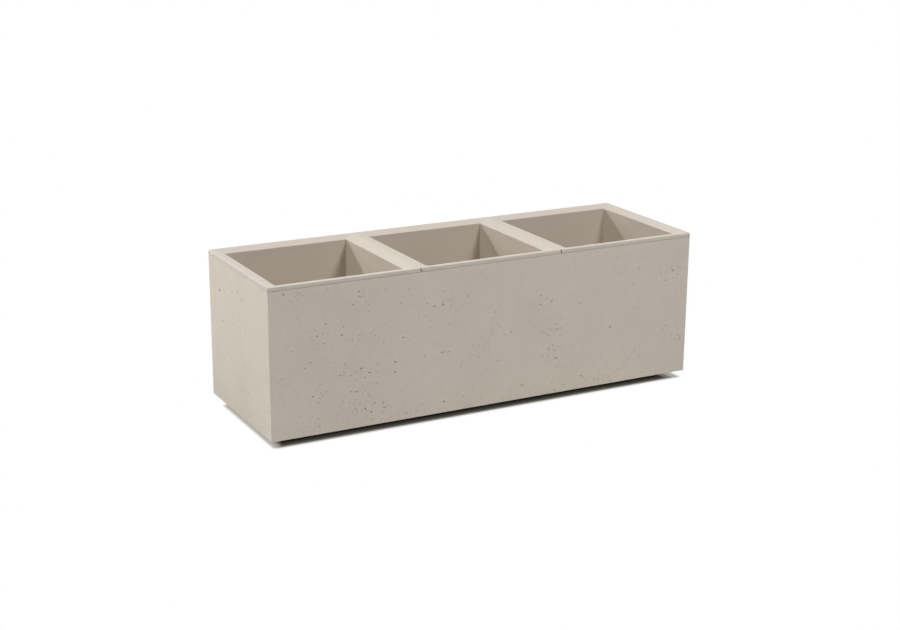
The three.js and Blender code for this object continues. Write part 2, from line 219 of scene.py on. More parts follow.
# Other settings of the finishes
PINHOLE_RIM = (0.05, 0.10)  # in steps of the pinholes
# painted shade inside the pinholes
PINHOLE_PAINTED_SHADE = "#A39889"
CONCRETE_BUMP = 0.7
DIELECTRIC_IOR = 1.5
SATIN_ROUGHNESS = (0.42, 0.50)
ZINC_ROUGHNESS = (0.28, 0.45)
NOISE_SPAN = (0.3, 0.7)  # where most of a noise's values lie


def cast_concrete(name, light, dark, roughness, grain_depth):
    """Fibre-reinforced concrete from a mould: matt, clouded by the release agent, with fine sand."""
    material, tree, place = new_material(name)
    cloud = add(tree, "ShaderNodeTexNoise", {"Vector": place, "Scale": 1 / (RELEASE_CLOUD * MM),
                                             "Detail": 3})
    mottle = add(tree, "ShaderNodeTexNoise", {"Vector": place, "Scale": 1 / (MOTTLE * MM), "Detail": 2})
    sand = add(tree, "ShaderNodeTexNoise", {"Vector": place, "Scale": 1 / (DRAWN_SAND * MM), "Detail": 2})
    clouded = add(tree, "ShaderNodeMath", {0: cloud.outputs["Fac"], 1: CLOUD_SHARE, 2: -CLOUD_SHARE / 2},
                  operation="MULTIPLY_ADD")
    mottled = add(tree, "ShaderNodeMath", {0: mottle.outputs["Fac"], 1: MOTTLE_SHARE, 2: clouded.outputs[0]},
                  operation="MULTIPLY_ADD")
    sanded = add(tree, "ShaderNodeMath", {0: sand.outputs["Fac"], 1: SAND_SHARE, 2: mottled.outputs[0]},
                 operation="MULTIPLY_ADD")
    skin = add(tree, "ShaderNodeMix", {0: sanded.outputs[0], 6: linear(dark), 7: linear(light)},
               data_type="RGBA")
    # Pinholes of about 1 mm: a bump, and painted shade in them
    holes = add(tree, "ShaderNodeTexVoronoi", {"Vector": place, "Scale": 1 / (PINHOLE_STEP * MM)})
    rim = add(tree, "ShaderNodeMapRange", {0: holes.outputs["Distance"], 1: PINHOLE_RIM[0],
                                           2: PINHOLE_RIM[1]})
    depth = add(tree, "ShaderNodeMath", {0: sand.outputs["Fac"], 1: grain_depth, 2: rim.outputs[0]},
                operation="MULTIPLY_ADD")
    colour = add(tree, "ShaderNodeMix", {0: rim.outputs[0], 6: linear(PINHOLE_PAINTED_SHADE), 7: skin.outputs[2]},
                 data_type="RGBA")
    bump = add(tree, "ShaderNodeBump", {"Height": depth.outputs[0], "Distance": CONCRETE_RELIEF * MM,
                                         "Strength": CONCRETE_BUMP})
    shader = add(tree, "ShaderNodeBsdfPrincipled", {
        "Base Color": colour.outputs[2],
        "Roughness": roughness,
        "IOR": DIELECTRIC_IOR,
        "Normal": bump.outputs[0],
    })
    add(tree, "ShaderNodeOutputMaterial", {"Surface": shader.outputs[0]})
    return material


def powder_coat(name):
    """Sheet steel under a polyester powder coat: satin, with a faint orange peel."""
    material, tree, place = new_material(name)
    peel = add(tree, "ShaderNodeTexNoise", {"Vector": place, "Scale": 1 / (ORANGE_PEEL * MM), "Detail": 1})
    film = add(tree, "ShaderNodeTexNoise", {"Vector": place, "Scale": 1 / (FILM_CLOUD * MM), "Detail": 2})
    colour = add(tree, "ShaderNodeMix", {
        0: film.outputs["Fac"],
        6: linear("#D3C9BB"),
        7: linear("#D7CDBF"),
    }, data_type="RGBA")
    gloss = add(tree, "ShaderNodeMapRange", {0: film.outputs["Fac"], 1: NOISE_SPAN[0], 2: NOISE_SPAN[1],
                                             3: SATIN_ROUGHNESS[0], 4: SATIN_ROUGHNESS[1]})
    bump = add(tree, "ShaderNodeBump", {"Height": peel.outputs["Fac"], "Distance": PEEL_RELIEF * MM})
    shader = add(tree, "ShaderNodeBsdfPrincipled", {
        "Base Color": colour.outputs[2],
        "Roughness": gloss.outputs[0],
        "IOR": DIELECTRIC_IOR,
        "Normal": bump.outputs[0],
    })
    add(tree, "ShaderNodeOutputMaterial", {"Surface": shader.outputs[0]})
    return material


def moulded(name, light, dark, roughness, speck, depth):
    """Moulded rubber or extruded plastic: a fine speck in its colour and its surface."""
    material, tree, place = new_material(name)
    grain = add(tree, "ShaderNodeTexNoise", {"Vector": place, "Scale": 1 / (speck * MM), "Detail": 2})
    colour = add(tree, "ShaderNodeMix", {0: grain.outputs["Fac"], 6: linear(dark), 7: linear(light)},
                 data_type="RGBA")
    bump = add(tree, "ShaderNodeBump", {"Height": grain.outputs["Fac"], "Distance": depth * MM})
    shader = add(tree, "ShaderNodeBsdfPrincipled", {
        "Base Color": colour.outputs[2],
        "Roughness": roughness,
        "IOR": DIELECTRIC_IOR,
        "Normal": bump.outputs[0],
    })
    add(tree, "ShaderNodeOutputMaterial", {"Surface": shader.outputs[0]})
    return material


def zinc_plate(name):
    """Zinc-plated steel: a cool grey metal, cloudy from the bath."""
    material, tree, place = new_material(name)
    bath = add(tree, "ShaderNodeTexNoise", {"Vector": place, "Scale": 1 / (BATH_CLOUD * MM), "Detail": 3})
    colour = add(tree, "ShaderNodeMix", {
        0: bath.outputs["Fac"],
        6: linear("#A9ADB1"),
        7: linear("#C9CCCE"),
    }, data_type="RGBA")
    gloss = add(tree, "ShaderNodeMapRange", {0: bath.outputs["Fac"], 1: NOISE_SPAN[0], 2: NOISE_SPAN[1],
                                             3: ZINC_ROUGHNESS[0], 4: ZINC_ROUGHNESS[1]})
    shader = add(tree, "ShaderNodeBsdfPrincipled", {
        "Base Color": colour.outputs[2],
        "Roughness": gloss.outputs[0],
        "Metallic": 1.0,
    })
    add(tree, "ShaderNodeOutputMaterial", {"Surface": shader.outputs[0]})
    return material


# Meshes

def sided_ring(reach, radius, height):
    """A rounded rectangle whose sides +X, +Y, -X, -Y each have their own reach and height."""
    corners = ((1, 1, 0, 1), (-1, 1, 2, 1), (-1, -1, 2, 3), (1, -1, 0, 3))
    points = []
    for quarter, (sign_x, sign_y, side_x, side_y) in enumerate(corners):
        for step in range(CORNER_STEPS + 1):
            angle = (quarter + step / CORNER_STEPS) * math.pi / 2
            share = math.sin(angle) ** 2
            points.append((
                sign_x * (reach[side_x] - radius) + radius * math.cos(angle),
                sign_y * (reach[side_y] - radius) + radius * math.sin(angle),
                height[side_x] + (height[side_y] - height[side_x]) * share,
            ))
    return points


def loft(rings, capped=True):
    """A body through rings of equal point counts."""
    form = bmesh.new()
    loops = [[form.verts.new(point) for point in ring] for ring in rings]
    for low, high in zip(loops, loops[1:]):
        for i in range(len(low)):
            j = (i + 1) % len(low)
            form.faces.new((low[i], low[j], high[j], high[i]))
    if capped:
        form.faces.new(reversed(loops[0]))
        form.faces.new(loops[-1])
    return form


def turn(outline, sides):
    """A body about Z through (radius, height) points. A radius may be a formula of height and angle."""
    rings = []
    for radius, height in outline:
        ring = []
        for i in range(sides):
            angle = math.tau * i / sides
            reach = radius(height, angle) if callable(radius) else radius
            ring.append((reach * math.cos(angle), reach * math.sin(angle), height))
        rings.append(ring)
    form = loft(rings, capped=False)
    bmesh.ops.remove_doubles(form, verts=form.verts, dist=MERGE)
    bmesh.ops.recalc_face_normals(form, faces=form.faces)
    return form


def thread(root, depth, pitch):
    """A formula for the radius of a screw thread at a height and an angle, for a turned body."""
    def radius(height, angle):
        turns = (height / pitch - angle / math.tau) % 1
        return root + depth * max(0, 1 - abs(2 * turns - 1) * THREAD_FLANK)
    return radius


def threaded(radius, start, end, pitch):
    """Outline points of a thread between two heights."""
    count = round(abs(end - start) / pitch * THREAD_STEPS)
    return [(radius, start + (end - start) * i / count) for i in range(count + 1)]


def block(form, low, high):
    """Adds a plain box between two corners to a form."""
    size = [b - a for a, b in zip(low, high)]
    middle = [(a + b) / 2 for a, b in zip(low, high)]
    place = Matrix.Translation(middle) @ Matrix.Diagonal((*size, 1))
    bmesh.ops.create_cube(form, size=1, matrix=place)


def new_object(name, form):
    """Turns a form in millimetres into a mesh object in metres."""
    bmesh.ops.scale(form, vec=(MM, MM, MM), verts=form.verts)
    mesh = bpy.data.meshes.new(name)
    form.to_mesh(mesh)
    form.free()
    thing = bpy.data.objects.new(name, mesh)
    bpy.context.scene.collection.objects.link(thing)
    return thing


def carve(thing, cutter):
    """Cuts a form out of an object for good."""
    tool = new_object("cutter", cutter)
    step = thing.modifiers.new("cut", "BOOLEAN")
    step.object = tool
    step.operation = "DIFFERENCE"
    step.solver = "EXACT"
    cut = thing.evaluated_get(bpy.context.evaluated_depsgraph_get())
    thing.data = bpy.data.meshes.new_from_object(cut)
    thing.modifiers.clear()
    bpy.data.objects.remove(tool)


def finish_piece(thing, node, materials, crease=CREASE):
    """Gives an object its materials and shading, and lets it stand for a CAD node."""
    for material in materials:
        thing.data.materials.append(material)
    for face in thing.data.polygons:
        face.use_smooth = True
    thing.data.set_sharp_from_angle(angle=math.radians(crease))
    flats = thing.modifiers.new("flats stay flat", "WEIGHTED_NORMAL")
    flats.keep_sharp = True
    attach(thing, frame["nodes"][node]["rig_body"])
    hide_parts(node)


# Folded liners

def arc(centre, radius, start, end):
    """Points of a bend between two angles in degrees, as (inset, height)."""
    angles = [math.radians(start + (end - start) * i / BEND_STEPS) for i in range(BEND_STEPS + 1)]
    return [(centre[0] + radius * math.cos(a), centre[1] + radius * math.sin(a)) for a in angles]


def liner_section(flange, trimmed):
    """One side of a liner, up the outside, over lip and flange and down the inside.

    Each point is (inset from the lip's outer face, height, radius of the upright corners there).
    Where it meets a neighbour, `trimmed` of it is cut off later, and its flange is highest at that cut.
    """
    lip_bend = [OUTER_BEND, HEIGHT - OUTER_BEND]  # middle of the bend, as the next two are
    wall_bend = (flange - OUTER_BEND, lip_bend[1] - FLANGE_FALL)
    slope = math.atan2(FLANGE_FALL, wall_bend[0] - lip_bend[0])
    if trimmed:
        across = wall_bend[0] - trimmed
        down = HEIGHT - wall_bend[1]
        slope = math.atan2(down, across) - math.asin(OUTER_BEND / math.hypot(across, down))
        lip_bend[1] = wall_bend[1] + (wall_bend[0] - lip_bend[0]) * math.tan(slope)
    lean = 90 - math.degrees(slope)
    floor_bend = (flange + BEND, LINER_BASE + OUTER_BEND)
    lip = [
        *arc(lip_bend, BEND, lean, 180),
        (SHEET, LIP_BOTTOM),
        (0, LIP_BOTTOM),
        *arc(lip_bend, OUTER_BEND, 180, lean),
    ]
    outside = arc(floor_bend, OUTER_BEND, 270, 180) + arc(wall_bend, BEND, 0, lean)
    inside = arc(wall_bend, OUTER_BEND, lean, 0) + arc(floor_bend, BEND, 180, 270)

    def along_wall(points):
        return [(inset, height, LINER_CORNER + flange - inset) for inset, height in points]

    along_lip = [(inset, height, max(LIP_CORNER - inset, SHARP)) for inset, height in lip]
    return along_wall(outside) + along_lip + along_wall(inside)


def make_liner(bay, meets_right, meets_left):
    """A liner folded from one sheet. Where it meets a neighbour, its flange ends square."""
    lipped = (BAY_PITCH / 2, WALL_REACH, 0)
    butted = (SEAM_X + SEAM_TRIM, WALL_REACH, SEAM_TRIM)
    long = (HALF_DEPTH, WALL_REACH, 0)
    sides = [butted if meets_right else lipped, long, butted if meets_left else lipped, long]
    sections = [liner_section(reach - wall + SHEET, trimmed) for reach, wall, trimmed in sides]
    rings = []
    for i, (_, _, radius) in enumerate(sections[0]):
        reaches = [side[0] - section[i][0] for side, section in zip(sides, sections)]
        rings.append(sided_ring(reaches, radius, [section[i][1] for section in sections]))
    form = loft(rings)
    cutter = bmesh.new()
    for x, y in ((0, 0), (1, 1), (-1, 1), (-1, -1), (1, -1)):
        place = Matrix.Translation((x * DRAIN_SPREAD, y * DRAIN_SPREAD, LINER_BASE + SHEET / 2))
        bmesh.ops.create_cone(cutter, cap_ends=True, segments=DRAIN_SIDES, radius1=DRAIN_RADIUS,
                              radius2=DRAIN_RADIUS, depth=SHEET + 2 * OVERCUT, matrix=place)
    for side in [1] * meets_right + [-1] * meets_left:
        everything = [*form.verts, *form.edges, *form.faces]
        bmesh.ops.bisect_plane(form, geom=everything, plane_co=(side * SEAM_X, 0, 0),
                               plane_no=(side, 0, 0), clear_outer=True)
        bmesh.ops.holes_fill(form, edges=[e for e in form.edges if e.is_boundary], sides=0)
        reach = sorted((side * NOTCH_X, side * (SEAM_X + OVERCUT)))
        for y in (-1, 1):
            span = sorted((y * NOTCH_Y, y * (HALF_DEPTH + OVERCUT)))
            block(cutter, (reach[0], span[0], LIP_BOTTOM - OVERCUT),
                  (reach[1], span[1], HEIGHT + OVERCUT))
    liner = new_object(f"folded_liner_{bay}", form)
    carve(liner, cutter)
    liner.data.transform(Matrix.Translation((BAY_CENTRES[bay] * MM, 0, 0)))
    finish_piece(liner, f"liner_{bay}", [coated_steel])


# Fittings

def place_at(name, node, form, material, quarters=0):
    """Puts a form, drawn about the Z axis at its true height, in the place of a CAD node."""
    low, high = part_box(node)
    thing = new_object(name, form)
    middle = Matrix.Translation(((low[0] + high[0]) / 2, (low[1] + high[1]) / 2, 0))
    thing.data.transform(middle @ Matrix.Rotation(quarters * math.pi / 2, 4, "Z"))
    finish_piece(thing, node, [material])


def make_foot(name, node):
    """Round rubber foot with two grooves in its sole."""
    outline = [(0, POCKET_FLOOR)]
    for inner, outer in FOOT_GROOVES:
        outline += [
            (inner, POCKET_FLOOR),
            (inner + GROOVE_LEAN, POCKET_FLOOR + GROOVE_DEPTH),
            (outer - GROOVE_LEAN, POCKET_FLOOR + GROOVE_DEPTH),
            (outer, POCKET_FLOOR),
        ]
    outline += [(FOOT_RADIUS - inset, POCKET_FLOOR + height) for inset, height in FOOT_SOLE]
    outline += [
        (FOOT_RADIUS, LINER_BASE - FOOT_TOP_BEVEL),
        (FOOT_RADIUS - FOOT_TOP_BEVEL, LINER_BASE),
        (0, LINER_BASE),
    ]
    place_at(name, node, turn(outline, FOOT_SIDES), epdm)


def make_spacer(name, node, quarters):
    """Extruded rubber strip with four soft ribs along it, its back on the liner's wall."""
    low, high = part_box(node)
    deep = min(high[0] - low[0], high[1] - low[1]) / MM
    middle = (low[2] + high[2]) / 2 / MM
    half_height = (high[2] - low[2]) / 2 / MM
    half_length = max(high[0] - low[0], high[1] - low[1]) / 2 / MM
    side = [(RIB_ROOT, RIB_ROOT_HALF)] + [(deep - behind, half) for behind, half in RIB_TIP]
    section = [(0, -half_height), (STRIP_DEPTH, -half_height)]
    for rib in RIB_PLACES:
        section += [(depth, rib - half) for depth, half in side]
        section += [(depth, rib + half) for depth, half in reversed(side)]
    section += [(STRIP_DEPTH, half_height), (0, half_height)]
    ends = (
        (-half_length, STRIP_END_SHARE),
        (STRIP_END - half_length, 1),
        (half_length - STRIP_END, 1),
        (half_length, STRIP_END_SHARE),
    )
    rings = []
    for along, share in ends:
        rings.append([(along, deep / 2 - depth * share, middle + height) for depth, height in section])
    form = loft(rings)
    bmesh.ops.recalc_face_normals(form, faces=form.faces)
    place_at(name, node, form, epdm, quarters)


def make_drain_sleeve(name, node):
    """Grey tube through the shell's floor, with a chamfer where the water runs in."""
    inlet = SLEEVE_BORE + SLEEVE_CHAMFER
    outline = [
        (SLEEVE_BORE, SHELL_BOTTOM + 0.5),
        (SLEEVE_BORE + 0.5, SHELL_BOTTOM),
        (SLEEVE_RADIUS - SLEEVE_EDGE, SHELL_BOTTOM),
        (SLEEVE_RADIUS, SHELL_BOTTOM + SLEEVE_EDGE),
        (SLEEVE_RADIUS, POCKET_FLOOR - SLEEVE_EDGE),
        (SLEEVE_RADIUS - SLEEVE_EDGE, POCKET_FLOOR),
        (inlet + 0.2, POCKET_FLOOR),
        (inlet, POCKET_FLOOR - 0.1),
        (SLEEVE_BORE + 0.1, POCKET_FLOOR - SLEEVE_CHAMFER),
        (SLEEVE_BORE, POCKET_FLOOR - SLEEVE_CHAMFER - 0.2),
        (SLEEVE_BORE, SHELL_BOTTOM + 0.5),
    ]
    place_at(name, node, turn(outline, SLEEVE_SIDES), pvc)


def make_screw(name, node):
    """Countersunk M6 screw, head down, with a hexagon recess."""
    def hexagon(height, angle):
        return KEY_CORNER * math.cos(math.pi / 6) / math.cos(angle % (math.pi / 3) - math.pi / 6)

    ridge = thread(SCREW_ROOT, SCREW_RADIUS - SCREW_ROOT, SCREW_PITCH)
    outline = [
        (0, KEY_FLOOR + 0.4),
        (KEY_POINT, KEY_FLOOR),
        (hexagon, KEY_FLOOR),
        (hexagon, SCREW_SUNK + 0.3),
        (KEY_CORNER + 0.2, SCREW_SUNK),
        (SCREW_HEAD - 0.2, SCREW_SUNK),
        (SCREW_HEAD, SCREW_SUNK + 0.2),
        (SCREW_HEAD - 0.1, SCREW_SUNK + 0.5),
        (SCREW_RADIUS, SCREW_CONE),
        (SCREW_RADIUS, SCREW_THREAD),
        (SCREW_ROOT, SCREW_THREAD + 0.5),
        *threaded(ridge, SCREW_THREAD + 0.6, SCREW_TIP - 1.1, SCREW_PITCH),
        (SCREW_ROOT, SCREW_TIP - 1),
        (SCREW_ROOT - 0.4, SCREW_TIP),
        (0, SCREW_TIP),
    ]
    place_at(name, node, turn(outline, SCREW_SIDES), zinc)


def make_screw_socket(name, node):
    """Blind sleeve cast into the shell, threaded for a runner's screw."""
    ridge = thread(SCREW_SOCKET_ROOT, SCREW_SOCKET_THREAD, SCREW_PITCH)
    outline = [
        (0, SCREW_SOCKET_END),
        (SCREW_SOCKET_ROOT, SCREW_SOCKET_END),
        *threaded(ridge, SCREW_SOCKET_END - 0.1, SHELL_BOTTOM + 0.8, SCREW_PITCH),
        (SCREW_SOCKET_ROOT + 0.7, SHELL_BOTTOM + 0.4),
        (SCREW_SOCKET_ROOT + 1.1, SHELL_BOTTOM),
        (SCREW_SOCKET_RADIUS - 0.3, SHELL_BOTTOM),
        (SCREW_SOCKET_RADIUS, SHELL_BOTTOM + 0.3),
        (SCREW_SOCKET_RADIUS, SCREW_SOCKET_TOP - 0.4),
        (SCREW_SOCKET_RADIUS - 0.4, SCREW_SOCKET_TOP),
        (0, SCREW_SOCKET_TOP),
    ]
    place_at(name, node, turn(outline, SCREW_SIDES), zinc)


def make_lifting_socket(name, node):
    """Blind M10 sleeve in the top of an end wall, for an eye bolt."""
    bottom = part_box(node)[0][2] / MM
    ridge = thread(EYE_SOCKET_ROOT, EYE_SOCKET_THREAD, EYE_SOCKET_PITCH)
    outline = [
        (0, bottom),
        (EYE_SOCKET_RADIUS - 0.6, bottom),
        (EYE_SOCKET_RADIUS, bottom + 0.6),
        (EYE_SOCKET_RADIUS, SHELL_TOP - 0.4),
        (EYE_SOCKET_RADIUS - 0.4, SHELL_TOP),
        (EYE_SOCKET_MOUTH, SHELL_TOP),
        (EYE_SOCKET_MOUTH - 0.8, SHELL_TOP - 0.9),
        *threaded(ridge, SHELL_TOP - 1, SHELL_TOP - EYE_SOCKET_DEPTH + 2, EYE_SOCKET_PITCH),
        (EYE_SOCKET_ROOT - 0.05, SHELL_TOP - EYE_SOCKET_DEPTH),
        (0, SHELL_TOP - EYE_SOCKET_DEPTH),
    ]
    place_at(name, node, turn(outline, EYE_SOCKET_SIDES), zinc)


def make_runner(name, node):
    """Cast bar with a countersunk hole for each screw."""
    low, high = (tuple(value / MM for value in corner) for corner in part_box(node))
    half_x = (high[0] - low[0]) / 2
    half_y = (high[1] - low[1]) / 2
    edges = list(RUNNER_EDGE)
    edges += [(inset, RUNNER_HEIGHT - away, radius) for inset, away, radius in reversed(RUNNER_EDGE)]
    rings = []
    for inset, height, radius in edges:
        reaches = [half_x - inset, half_y - inset] * 2
        rings.append(sided_ring(reaches, radius, [height] * 4))
    bar = new_object(name, loft(rings))
    hole = [
        (0, -OVERCUT),
        (SCREW_HOLE_MOUTH, -OVERCUT),
        (SCREW_HOLE_MOUTH, SCREW_SUNK),
        (SCREW_HOLE, SCREW_SUNK + SCREW_HOLE_MOUTH - SCREW_HOLE),
        (SCREW_HOLE, RUNNER_HEIGHT + OVERCUT),
        (0, RUNNER_HEIGHT + OVERCUT),
    ]
    for y in (-SCREW_SPREAD, SCREW_SPREAD):
        cutter = turn(hole, SCREW_HOLE_SIDES)
        bmesh.ops.translate(cutter, vec=(0, y, 0), verts=cutter.verts)
        carve(bar, cutter)
    bar.data.transform(Matrix.Translation(((low[0] + high[0]) / 2 * MM, 0, 0)))
    finish_piece(bar, node, [runner_concrete])


def make_fittings():
    """Everything small: the rubber under and round the liners, and what is cast or screwed in."""
    for bay in BAY_CENTRES:
        for corner in ("front_left", "front_right", "back_left", "back_right"):
            make_foot(f"rubber_foot_{bay}_{corner}", f"liner_{bay}_foot_{corner}")
        for quarters, side in enumerate(("front", "right", "back", "left")):
            make_spacer(f"ribbed_spacer_{bay}_{side}", f"liner_{bay}_spacer_{side}", quarters)
        make_drain_sleeve(f"drain_tube_{bay}", f"drain_sleeve_{bay}")
    for side in ("left", "right"):
        make_runner(f"cast_runner_{side}", f"runner_{side}")
        for end in ("front", "back"):
            make_screw(f"countersunk_screw_{side}_{end}", f"runner_screw_{side}_{end}")
            make_screw_socket(f"threaded_socket_{side}_{end}", f"screw_socket_{side}_{end}")
            make_lifting_socket(f"eye_bolt_socket_{side}_{end}", f"lifting_socket_{side}_{end}")


# Concrete shell

# Pits are the air bubbles that the cast face keeps.
PIT_SIZES = (
    # pits per square metre, median height, points round the rim
    (60, 2.9, 12),
    (660, 2.0, 8),
    (1350, 1.6, 6),
)
PIT_SEED = 11
END_FACE_PITS = 0.8  # how dense they are on an end face, as a share of a long face
PIT_SPREAD = 0.35  # of the logarithm of a pit's height
PIT_WIDTH = (1.3, 2.6)  # in heights of the pit
PIT_DEPTH = (0.45, 0.8)  # in heights of the pit
GROUP_STEP = 40  # length of face to each cluster
GROUP_SPREAD = (12, 45)
GROUP_FLATNESS = 0.45
GROUPED = 0.55  # share of the pits that lie in clusters
SETTLING = 1.3  # the power that moves single pits down the face
GROUP_SETTLING = 1.5  # and clusters
SEARCH_CELL = 12
KEEP_APART = 0.6  # of the sum of two pits' sizes
RIM_LEAN = 0.15  # radians by which a pit's long side leaves the level
RIM_JITTER = 0.2  # of the step from one rim point to the next
RIM_REACH = (0.8, 1.08)  # of a true oval
BOTTOM_SHIFT = 0.05
BOTTOM_RING = (0.72, 0.75)  # width and depth of the ring inside a larger pit, as shares


def scatter_pits(rng, length, height, share):
    """Places pits on a face in loose clusters, denser below: it is cast upside down, and air rises."""
    groups = [(rng.uniform(0, length), height * rng.random() ** GROUP_SETTLING, rng.uniform(*GROUP_SPREAD))
              for _ in range(round(length / GROUP_STEP))]
    pits = []
    cells = {}
    for density, median, points in PIT_SIZES:
        wanted = round(density * share * length * height * MM * MM)
        while wanted > 0:
            if rng.random() < GROUPED:
                u, v, spread = rng.choice(groups)
                u += rng.gauss(0, spread)
                v += rng.gauss(0, spread * GROUP_FLATNESS)
            else:
                u = rng.uniform(0, length)
                v = height * rng.random() ** SETTLING
            tall = median * rng.lognormvariate(0, PIT_SPREAD)
            wide = tall * rng.uniform(*PIT_WIDTH)
            inside = wide < u < length - wide and tall < v < height - tall
            cell = (int(u // SEARCH_CELL), int(v // SEARCH_CELL))
            near = [pit for i in (-1, 0, 1) for j in (-1, 0, 1)
                    for pit in cells.get((cell[0] + i, cell[1] + j), ())]
            free = all(abs(u - other[0]) > (wide + other[2]) * KEEP_APART
                       or abs(v - other[1]) > (tall + other[3]) * KEEP_APART for other in near)
            if inside and free:
                pit = (u, v, wide, tall, points)
                pits.append(pit)
                cells.setdefault(cell, []).append(pit)
                wanted -= 1
    return pits


def pit_rim(rng, u, v, wide, tall, points):
    """An uneven oval round the middle of a pit."""
    lean = rng.gauss(0, RIM_LEAN)
    rim = []
    for i in range(points):
        angle = math.tau * (i + rng.uniform(-RIM_JITTER, RIM_JITTER)) / points
        reach = rng.uniform(*RIM_REACH)
        across = reach * wide / 2 * math.cos(angle)
        up = reach * tall / 2 * math.sin(angle)
        rim.append((u + across * math.cos(lean) - up * math.sin(lean),
                    v + across * math.sin(lean) + up * math.cos(lean)))
    return rim


def pitted_face(form, rng, start, along, length, share):
    """Adds one outer face of the shell, with its pits, from its lower corner at `start`."""
    up = Vector((0, 0, 1))
    inward = up.cross(along)
    height = SHELL_TOP - SHELL_BOTTOM - 2 * SHELL_EASE
    corners = [(0, 0), (length, 0), (length, height), (0, height)]
    flat = list(corners)
    edges = [(0, 1), (1, 2), (2, 3), (3, 0)]
    owner = [None] * len(corners)
    pits = scatter_pits(rng, length, height, share)
    rims = [pit_rim(rng, *pit) for pit in pits]
    for number, rim in enumerate(rims):
        first = len(flat)
        flat += rim
        owner += [number] * len(rim)
        edges += [(first + i, first + (i + 1) % len(rim)) for i in range(len(rim))]
    points, _, triangles, origins, _, _ = delaunay_2d_cdt([Vector(p) for p in flat], edges, [], 0, MERGE)

    def lift(u, v, depth=0):
        return form.verts.new(start + along * u + up * v + inward * depth)

    verts = [lift(*point) for point in points]
    owner = [owner[source[0]] for source in origins]
    for triangle in triangles:
        owners = {owner[i] for i in triangle}
        if len(owners) == 1 and None not in owners:
            if inside_pit(rims[owners.pop()], [points[i] for i in triangle]):
                continue
        form.faces.new([verts[i] for i in triangle])
    placed = {source[0]: verts[i] for i, source in enumerate(origins)}
    first = len(corners)
    # Pit walls and bottoms take the second material, darkened as painted shade.
    for (u, v, wide, tall, count), rim in zip(pits, rims):
        deep = tall * rng.uniform(*PIT_DEPTH)
        outer = [placed[first + i] for i in range(count)]
        first += count
        floor = (u + rng.gauss(0, BOTTOM_SHIFT) * wide, v + rng.gauss(0, BOTTOM_SHIFT) * tall)
        if count > PIT_SIZES[-1][2]:  # all but the smallest pits have a round bottom
            width, depth = BOTTOM_RING
            inner = [lift(floor[0] + (a - floor[0]) * width, floor[1] + (b - floor[1]) * width, deep * depth)
                     for a, b in rim]
            for i in range(count):
                j = (i + 1) % count
                form.faces.new((outer[i], outer[j], inner[j], inner[i])).material_index = 1
            outer = inner
        bottom = lift(*floor, deep)
        for i in range(count):
            form.faces.new((outer[i], outer[(i + 1) % count], bottom)).material_index = 1


def inside_pit(rim, triangle):
    """Whether the middle of a triangle lies within a rim."""
    u = sum(point[0] for point in triangle) / 3
    v = sum(point[1] for point in triangle) / 3
    odd = False
    for (a, b), (c, d) in zip(rim, rim[1:] + rim[:1]):
        if (b > v) != (d > v) and u < a + (c - a) * (v - b) / (d - b):
            odd = not odd
    return odd


def make_pocket(centre):
    """The space for one liner: leaning walls, a round floor edge and an eased rim."""
    draft = math.tan(math.radians(POCKET_DRAFT))
    half = BAY_PITCH / 2 - WALL
    rings = []
    for inset, height in arc((POCKET_FILLET, POCKET_FLOOR + POCKET_FILLET), POCKET_FILLET, 270, 180):
        reach = half - inset - draft * (SHELL_TOP - height)
        rings.append(sided_ring([reach] * 4, max(POCKET_CORNER - inset, SHARP), [height] * 4))
    for wider, below in (*POCKET_RIM, (POCKET_RIM[-1][0], -OVERCUT)):
        rings.append(sided_ring([half + wider] * 4, POCKET_CORNER, [SHELL_TOP - below] * 4))
    form = loft(rings)
    bmesh.ops.translate(form, vec=(centre, 0, 0), verts=form.verts)
    return form


def seat_cutter(node, past_low, past_high):
    """A round cutter for the seat of a cast-in piece, a little wider than the piece."""
    low, high = (tuple(value / MM for value in corner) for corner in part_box(node))
    radius = (high[0] - low[0]) / 2 + CAST_GAP
    bottom = low[2] - past_low
    top = high[2] + past_high
    form = turn([(0, bottom), (radius, bottom), (radius, top), (0, top)], SEAT_SIDES)
    bmesh.ops.translate(form, vec=((low[0] + high[0]) / 2, (low[1] + high[1]) / 2, 0), verts=form.verts)
    return form


